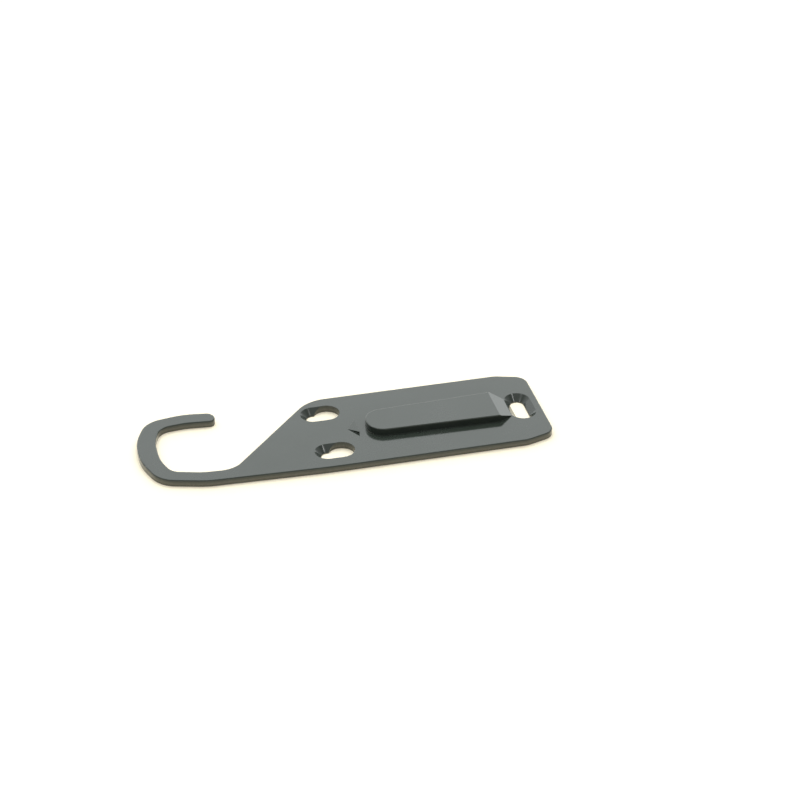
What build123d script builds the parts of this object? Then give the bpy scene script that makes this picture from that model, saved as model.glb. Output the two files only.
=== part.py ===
from build123d import *
import math

# Flat hook plate, stamped from one sheet of coated steel.
# Millimetres. X runs along the plate with the hook at -X, Y across it, Z up.
# Origin: middle of the plate's outline, on the face that lies against the structure.

# ---- sheet ----
thickness = 3.0
width = 50.0
top_break = 0.6         # rolled-over edge on the upper face
under_break = 0.2       # edge break on the lower face
half = width / 2

# ---- square end, tapered towards its corners ----
right = 83.3
taper_start = 71.0
taper_half = 21.3       # half width at the very end
taper_blend = 10.0
end_corner = 5.6

# ---- diagonal shoulder between the plate and the hook ----
shoulder_x = -9.0       # where the diagonal would meet the back edge
shoulder_blend = 16.0

# ---- hook: corners of its outline, each with its blend radius ----
hook_outer = [
    ((-48.15, 25.35), 3.8),     # tip, outer corner
    ((-60.8, 27.25), 34.0),     # crown of the returning arm
    ((-76.45, 24.7), 11.0),
    ((-82.5, 10.6), 30.0),
    ((-82.5, -3.5), 30.0),
    ((-77.34, -17.92), 12.0),
    ((-59.0, -22.9), 30.0),
    ((-10.0, -25.0), 300.0),    # the long arm leans in slightly from here
]
hook_inner = [
    ((-47.5, -17.05), 10.8),    # throat, at the foot of the diagonal
    ((-60.0, -16.2), 25.0),
    ((-71.4, -12.85), 6.0),
    ((-74.7, -4.0), 25.0),
    ((-74.7, 10.0), 25.0),
    ((-71.1, 19.2), 6.5),
    ((-60.5, 20.35), 30.0),
    ((-48.15, 19.05), 2.6),     # tip, inner corner
]

# ---- keyholes ----
key_x = -3.35           # centre of the round part
key_pitch = 28.0
key_round_r = 5.4
key_neck_x = -8.85      # centre of the narrow end
screw_slot_r = 2.83     # half width of the narrow end and of the cross slot
sink_r = 5.4            # rim of the 90 degree countersink
sink_depth = sink_r - screw_slot_r

# ---- cross slot ----
cross_x = 75.0
cross_travel = 8.65

# ---- raised tongue ----
tongue_free_x = 9.9
tongue_fold_x = 63.7
tongue_neck_x = 64.5    # where the sides turn in towards the toe
tongue_toe_x = 69.8
tongue_free_half = 7.5
tongue_fold_half = 9.15
tongue_toe_half = 6.4
tongue_free_r = 7.1
tongue_rise = 2.96      # the tongue's foot stays just inside its window
tongue_rim = 0.5        # rounded upper rim
tongue_free_y = -0.5    # the tongue sits slightly to the front of the centre line,
tongue_y = -0.2         # most at its free end and least at its root
shear_gap = 0.04        # clearance between the tongue and its window

# ---- catch nib ----
nib_apex_x = 2.2
nib_base_x = 6.25
nib_half = 4.75
nib_rise = 1.05

top = thickness
bend = math.atan2(tongue_rise, tongue_toe_x - tongue_fold_x)     # slope of the ramp
bend_shift = thickness * math.tan(bend / 2)


# Both sides of the tongue run straight from its free end to its neck and on to the bar's end.
reach = (right - tongue_free_x) / (tongue_neck_x - tongue_free_x)
free_front = tongue_free_y - tongue_free_half
free_back = tongue_free_y + tongue_free_half
bar_front = free_front + reach * (tongue_y - tongue_fold_half - free_front)
bar_back = free_back + reach * (tongue_y + tongue_fold_half - free_back)

# The tongue: a straight bar with a rounded upper rim, cut to the ramp's side profile and then to its toe.
with BuildPart() as tongue:
    with BuildSketch(Plane.XY):
        with BuildLine():
            FilletPolyline(
                (tongue_free_x, free_front),
                (right, bar_front),
                (right, bar_back),
                (tongue_free_x, free_back),
                radius=[tongue_free_r, 0, 0, tongue_free_r],
                close=True,
            )
        make_face()
    extrude(amount=top + tongue_rise)
    rim = tongue.faces().sort_by(Axis.Z)[-1].outer_wire().edges().filter_by(
        lambda edge: edge.center().X < right - 1
    )
    fillet(rim, tongue_rim)
    with BuildSketch(Plane.XZ):
        with BuildLine():
            Polyline(
                (tongue_free_x - 2, tongue_rise),
                (tongue_free_x - 2, top + tongue_rise),
                (tongue_fold_x, top + tongue_rise),
                (tongue_toe_x, top),
                (tongue_toe_x + 1.2, top),
                (tongue_toe_x + 1.2, 0),
                (tongue_toe_x - bend_shift, 0),
                (tongue_fold_x - bend_shift, tongue_rise),
                close=True,
            )
        make_face()
    extrude(amount=half, both=True, mode=Mode.INTERSECT)
    with BuildSketch(Plane.XY):
        with BuildLine():
            Polyline(
                (tongue_free_x - 2, -half),
                (tongue_neck_x, -half),
                (tongue_neck_x, tongue_y - tongue_fold_half),
                (tongue_toe_x, tongue_y - tongue_toe_half),
                (tongue_toe_x + 1.2, tongue_y - tongue_toe_half + 0.4),
                (tongue_toe_x + 1.2, tongue_y + tongue_toe_half - 0.4),
                (tongue_toe_x, tongue_y + tongue_toe_half),
                (tongue_neck_x, tongue_y + tongue_fold_half),
                (tongue_neck_x, half),
                (tongue_free_x - 2, half),
                close=True,
            )
        make_face()
    extrude(amount=top + tongue_rise + 1, mode=Mode.INTERSECT)

# The catch nib: a wedge that rises towards the tongue.
with BuildPart() as nib:
    with BuildSketch(Plane.XZ):
        with BuildLine():
            Polyline(
                (nib_apex_x, top - 0.5),
                (nib_apex_x, top),
                (nib_base_x, top + nib_rise),
                (nib_base_x, top - 0.5),
                close=True,
            )
        make_face()
    extrude(amount=nib_half, both=True)
    with BuildSketch(Plane.XY.offset(top - 0.5)):
        with BuildLine():
            Polyline((nib_apex_x, 0), (nib_base_x, -nib_half), (nib_base_x, nib_half), close=True)
        make_face()
    extrude(amount=nib_rise + 1, mode=Mode.INTERSECT)

with BuildPart() as hook_plate:
    # Blank with its hook.
    with BuildSketch(Plane.XY):
        with BuildLine():
            corners = [
                ((right, -taper_half), end_corner),
                ((right, taper_half), end_corner),
                ((taper_start, half), taper_blend),
                ((shoulder_x, half), shoulder_blend),
                *hook_inner,
                *hook_outer,
                ((taper_start, -half), taper_blend),
            ]
            FilletPolyline(
                *[point for point, _ in corners],
                radius=[radius for _, radius in corners],
                close=True,
            )
        make_face()
    extrude(amount=thickness)

    # Window that the tongue was cut from. It stops at the tongue's root.
    with BuildSketch(Plane.XY):
        with BuildLine():
            root_x = tongue_toe_x - bend_shift
            root_half = tongue_toe_half + bend_shift * (
                tongue_fold_half - tongue_toe_half
            ) / (tongue_toe_x - tongue_neck_x)
            FilletPolyline(
                (tongue_free_x - shear_gap, free_front - shear_gap),
                (tongue_neck_x, tongue_y - tongue_fold_half - shear_gap),
                (root_x, tongue_y - root_half - shear_gap),
                (root_x, tongue_y + root_half + shear_gap),
                (tongue_neck_x, tongue_y + tongue_fold_half + shear_gap),
                (tongue_free_x - shear_gap, free_back + shear_gap),
                radius=[tongue_free_r, 0, 0, 0, 0, tongue_free_r],
                close=True,
            )
        make_face()
    extrude(amount=thickness, mode=Mode.SUBTRACT)

    add(tongue.part)
    add(nib.part)

    # Keyholes: round entry, narrow end and its countersink.
    with BuildSketch(Plane.XY):
        with Locations((key_x, key_pitch / 2), (key_x, -key_pitch / 2)):
            Circle(key_round_r)
        with Locations(
            ((key_x + key_neck_x) / 2, key_pitch / 2),
            ((key_x + key_neck_x) / 2, -key_pitch / 2),
        ):
            SlotCenterToCenter(key_x - key_neck_x, 2 * screw_slot_r)
    extrude(amount=thickness, mode=Mode.SUBTRACT)
    with BuildSketch(Plane.XY.offset(top)):
        with Locations(
            ((key_x + key_neck_x) / 2, key_pitch / 2),
            ((key_x + key_neck_x) / 2, -key_pitch / 2),
        ):
            SlotCenterToCenter(key_x - key_neck_x, 2 * sink_r)
    extrude(amount=-sink_depth, taper=45, mode=Mode.SUBTRACT)

    # Cross slot with its countersink.
    with BuildSketch(Plane.XY):
        with Locations((cross_x, 0)):
            SlotCenterToCenter(cross_travel, 2 * screw_slot_r, rotation=90)
    extrude(amount=thickness, mode=Mode.SUBTRACT)
    with BuildSketch(Plane.XY.offset(top)):
        with Locations((cross_x, 0)):
            SlotCenterToCenter(cross_travel, 2 * sink_r, rotation=90)
    extrude(amount=-sink_depth, taper=45, mode=Mode.SUBTRACT)

    # Edge breaks along the outline, above and below.
    upper = hook_plate.faces().filter_by(Plane.XY).filter_by(
        lambda face: abs(face.center().Z - top) < 1e-6
    ).sort_by(SortBy.AREA)[-1]
    fillet(upper.outer_wire().edges(), top_break)
    lower = hook_plate.faces().filter_by(Plane.XY).sort_by(Axis.Z)[0]
    fillet(lower.outer_wire().edges(), under_break)

print("volume", round(hook_plate.part.volume, 1), "valid", hook_plate.part.is_valid)
hook_plate.part.label = "hook_plate"
export_step(hook_plate.part, "parts/hook_plate.step")
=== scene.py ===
import math

import bpy
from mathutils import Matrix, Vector


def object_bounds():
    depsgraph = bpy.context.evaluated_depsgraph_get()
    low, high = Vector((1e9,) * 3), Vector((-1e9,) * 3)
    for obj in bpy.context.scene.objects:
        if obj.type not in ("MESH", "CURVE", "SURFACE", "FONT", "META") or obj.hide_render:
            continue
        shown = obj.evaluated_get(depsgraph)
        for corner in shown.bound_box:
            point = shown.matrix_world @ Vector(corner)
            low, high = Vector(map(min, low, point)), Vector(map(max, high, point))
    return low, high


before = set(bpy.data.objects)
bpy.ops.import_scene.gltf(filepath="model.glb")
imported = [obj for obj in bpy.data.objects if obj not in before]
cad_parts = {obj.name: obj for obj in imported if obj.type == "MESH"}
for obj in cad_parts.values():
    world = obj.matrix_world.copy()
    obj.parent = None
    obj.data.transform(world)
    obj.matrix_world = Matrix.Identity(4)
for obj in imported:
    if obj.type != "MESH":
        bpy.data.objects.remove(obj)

# Flat hook plate: one coated steel stamping on a pale sweep, lit softly from all round.

cad_low, cad_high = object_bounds()
cad_box = [list(map(float, cad_low)), list(map(float, cad_high))]
scene = bpy.context.scene
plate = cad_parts["hook_plate"]


# ---------------------------------------------------------------- materials
class Graph:
    """Small helper for building one node material."""

    def __init__(self, name):
        self.material = bpy.data.materials.new(name)
        self.material.use_nodes = True
        self.tree = self.material.node_tree
        self.tree.nodes.clear()

    def node(self, kind, inputs=None, **props):
        made = self.tree.nodes.new(kind)
        for key, value in props.items():
            setattr(made, key, value)
        for key, value in (inputs or {}).items():
            if isinstance(value, bpy.types.NodeSocket):
                self.tree.links.new(value, made.inputs[key])
            else:
                made.inputs[key].default_value = value
        return made

    def noise(self, vector, scale, detail=4.0, roughness=0.5, distortion=0.0):
        return self.node(
            "ShaderNodeTexNoise",
            {"Vector": vector, "Scale": scale, "Detail": detail,
             "Roughness": roughness, "Distortion": distortion},
        ).outputs["Fac"]

    def remap(self, value, low, high, to_low, to_high):
        return self.node(
            "ShaderNodeMapRange",
            {"Value": value, "From Min": low, "From Max": high,
             "To Min": to_low, "To Max": to_high},
        ).outputs["Result"]

    def math(self, operation, a, b=0.0, clamp=False):
        return self.node(
            "ShaderNodeMath", {0: a, 1: b}, operation=operation, use_clamp=clamp
        ).outputs[0]

    def mix(self, factor, a, b):
        made = self.node("ShaderNodeMix", data_type="RGBA")
        for index, value in ((0, factor), (6, a), (7, b)):
            if isinstance(value, bpy.types.NodeSocket):
                self.tree.links.new(value, made.inputs[index])
            else:
                made.inputs[index].default_value = value
        return made.outputs[2]


def coated_steel():
    """Thin semi-gloss dark grey dip coat: faint orange peel, slight shade drift, edges where the coat is thinner,
    and painted warm floor bounce low on the cut faces.
    """
    g = Graph("dark_coating")
    where = g.node("ShaderNodeTexCoord").outputs["Object"]
    cloud = g.noise(where, 38.0, 4.0, 0.55)
    fine = g.noise(where, 900.0, 3.0, 0.6)
    speck = g.noise(where, 2600.0, 2.0, 0.5)
    drift = g.remap(cloud, 0.3, 0.7, 0.0, 1.0)
    tone = g.mix(drift, (0.022, 0.029, 0.022, 1), (0.029, 0.036, 0.030, 1))
    tone = g.mix(g.remap(fine, 0.35, 0.7, 0.0, 0.35), tone, (0.034, 0.042, 0.034, 1))
    # Edges: the dip coat runs thin on a stamped edge and shows slightly lighter.
    edge = g.node("ShaderNodeBevel", {"Radius": 0.0002}, samples=6).outputs["Normal"]
    flat = g.node("ShaderNodeNewGeometry").outputs["Normal"]
    turn = g.node(
        "ShaderNodeVectorMath", {0: edge, 1: flat}, operation="DOT_PRODUCT"
    ).outputs["Value"]
    worn = g.remap(turn, 1.0, 0.86, 0.0, 1.0)
    patchy = g.remap(fine, 0.35, 0.6, 0.35, 1.0)
    worn = g.math("MULTIPLY", worn, patchy, True)
    tone = g.mix(g.math("MULTIPLY", worn, 0.25), tone, (0.060, 0.064, 0.058, 1))
    # Cut faces: low down on each vertical cut face the colour is painted lighter and warmer. This is a painted warm
    # bounce of light from the pale floor, and partly the sheared edge's own rougher, lighter fracture band.
    height = g.node("ShaderNodeSeparateXYZ", {0: where}).outputs["Z"]
    steep = g.node("ShaderNodeSeparateXYZ", {0: flat}).outputs["Z"]
    steep = g.remap(g.math("ABSOLUTE", steep), 0.35, 0.6, 1.0, 0.0)
    low = g.remap(height, 0.0012, 0.0024, 1.0, 0.0)
    shear_and_floor_bounce = g.math("MULTIPLY", g.math("MULTIPLY", steep, low), g.remap(fine, 0.3, 0.7, 0.85, 1.1), True)
    # Painted floor bounce: this lighter, warmer tone on the lower band of the cut faces stands in for light thrown
    # up from the floor, partly the sheared face's own lighter colour.
    tone = g.mix(shear_and_floor_bounce, tone, (0.094, 0.093, 0.074, 1))
    rough = g.math(
        "ADD",
        g.remap(cloud, 0.25, 0.75, 0.10, 0.15),
        g.remap(speck, 0.3, 0.7, -0.02, 0.03),
    )
    peel = g.noise(where, 420.0, 2.0, 0.5)
    bump = g.node(
        "ShaderNodeBump", {"Strength": 0.10, "Distance": 0.00004, "Height": peel, "Normal": edge}
    ).outputs["Normal"]
    bump = g.node(
        "ShaderNodeBump", {"Strength": 0.08, "Distance": 0.00001, "Height": speck, "Normal": bump}
    ).outputs["Normal"]
    surface = g.node(
        "ShaderNodeBsdfPrincipled",
        {"Base Color": tone, "Roughness": rough, "Normal": bump, "IOR": 1.5,
         "Coat Weight": 0.15, "Coat Roughness": 0.12},
    ).outputs["BSDF"]
    g.node("ShaderNodeOutputMaterial", {"Surface": surface})
    return g.material


def sweep_material():
    g = Graph("sweep")
    where = g.node("ShaderNodeTexCoord").outputs["Object"]
    grain = g.noise(where, 60.0, 3.0, 0.5)
    tone = g.mix(grain, (0.86, 0.78, 0.63, 1), (0.88, 0.80, 0.65, 1))
    # The paper glows a little, as a sheet lit from below does.
    surface = g.node(
        "ShaderNodeBsdfPrincipled",
        {"Base Color": tone, "Roughness": 0.9, "Specular IOR Level": 0.1,
         "Emission Color": (1.0, 0.91, 0.70, 1), "Emission Strength": 0.20},
    ).outputs["BSDF"]
    g.node("ShaderNodeOutputMaterial", {"Surface": surface})
    return g.material


coat = coated_steel()
for slot in plate.material_slots:
    slot.material = coat

# ---------------------------------------------------------------- floor
floor_z = cad_box[0][2]
bpy.ops.mesh.primitive_plane_add(size=6.0, location=(0, 0, floor_z - 0.00002))
floor = bpy.context.object
floor.name = "floor"
floor.data.materials.append(sweep_material())

# ---------------------------------------------------------------- light
# A big pale backdrop behind and overhead, brightest high up and a little weaker low down. The front and both sides of the room are dim.
world = bpy.data.worlds.new("surround")
scene.world = world
world.use_nodes = True
tree = world.node_tree
tree.nodes.clear()
direction = tree.nodes.new("ShaderNodeTexCoord").outputs["Generated"]


def along(axis):
    made = tree.nodes.new("ShaderNodeVectorMath")
    made.operation = "DOT_PRODUCT"
    tree.links.new(direction, made.inputs[0])
    made.inputs[1].default_value = axis
    return made.outputs["Value"]


front = along((-0.243, -0.970, 0.0))
right = along((0.970, -0.243, 0.0))
height = tree.nodes.new("ShaderNodeSeparateXYZ")
tree.links.new(direction, height.inputs[0])


def ramp(value, start, stop, first, last):
    made = tree.nodes.new("ShaderNodeMapRange")
    made.interpolation_type = "SMOOTHSTEP"
    tree.links.new(value, made.inputs["Value"])
    for name, number in (("From Min", start), ("From Max", stop), ("To Min", first), ("To Max", last)):
        made.inputs[name].default_value = number
    return made.outputs["Result"]


strength = ramp(front, -0.24, 0.16, 1.90, 0.46)
for factor in (
    ramp(height.outputs["Z"], 0.60, 0.85, 1.0, 1.6),
    ramp(height.outputs["Z"], 0.15, 0.50, 0.91, 1.0),
    ramp(right, 0.60, 0.82, 1.0, 0.38),
    ramp(right, -0.60, -0.88, 1.0, 0.55),
):
    product = tree.nodes.new("ShaderNodeMath")
    product.operation = "MULTIPLY"
    tree.links.new(strength, product.inputs[0])
    tree.links.new(factor, product.inputs[1])
    strength = product.outputs["Value"]
light = tree.nodes.new("ShaderNodeBackground")
light.inputs["Color"].default_value = (0.965, 1.0, 1.0, 1)
tree.links.new(strength, light.inputs["Strength"])
sky = tree.nodes.new("ShaderNodeOutputWorld")
tree.links.new(light.outputs["Background"], sky.inputs["Surface"])


def area(name, place, aim, size_x, size_y, power, tint=(1, 1, 1)):
    lamp = bpy.data.lights.new(name, "AREA")
    lamp.shape = "RECTANGLE"
    lamp.size, lamp.size_y = size_x, size_y
    lamp.energy = power
    lamp.color = tint
    made = bpy.data.objects.new(name, lamp)
    scene.collection.objects.link(made)
    made.location = place
    made.rotation_euler = (Vector(aim) - Vector(place)).to_track_quat("-Z", "Y").to_euler()
    return made


def aimed(name, azimuth, elevation, distance, size, power, tint=(1, 1, 1)):
    """A square softbox in a direction counted anticlockwise from +X."""
    a, e = math.radians(azimuth), math.radians(elevation)
    place = (distance * math.cos(e) * math.cos(a), distance * math.cos(e) * math.sin(a), distance * math.sin(e))
    return area(name, place, (0, 0, 0), size, size, power, tint)


aimed("front_right", -45, 49, 1.1, 0.07, 0.16)
aimed("front_left", -150, 53, 1.1, 0.07, 0.45)

# ---------------------------------------------------------------- camera
# A long lens about 0.94 m away, from the front and a little above.
unit = 0.404e-3
turn, lift = math.radians(14.05), math.radians(32.3)
forward = Vector((math.sin(turn) * math.cos(lift), math.cos(turn) * math.cos(lift), -math.sin(lift)))
side = Vector((math.cos(turn), -math.sin(turn), 0))
up = side.cross(forward)
focal = 2320.0
aim_x, aim_y = 400.0, 430.0
ray = (forward + side * ((aim_x - 400) / focal) - up * ((aim_y - 400) / focal)).normalized()
anchor = Vector((56.25 * unit, -14.6 * unit, 0.003))
camera_data = bpy.data.cameras.new("camera")
camera_data.lens = focal / 800 * 36.0
camera_data.sensor_width = 36.0
camera_data.clip_start, camera_data.clip_end = 0.01, 50.0
camera = bpy.data.objects.new("camera", camera_data)
scene.collection.objects.link(camera)
camera.location = anchor - ray * (2320.0 * unit)
basis = camera.rotation_euler.to_matrix()
basis.col[0], basis.col[1], basis.col[2] = side, up, -forward
camera.rotation_euler = basis.to_euler()
scene.camera = camera

scene.view_settings.view_transform = "Standard"
scene.view_settings.look = "None"
scene.view_settings.exposure = 0.0
scene.view_settings.gamma = 1.0
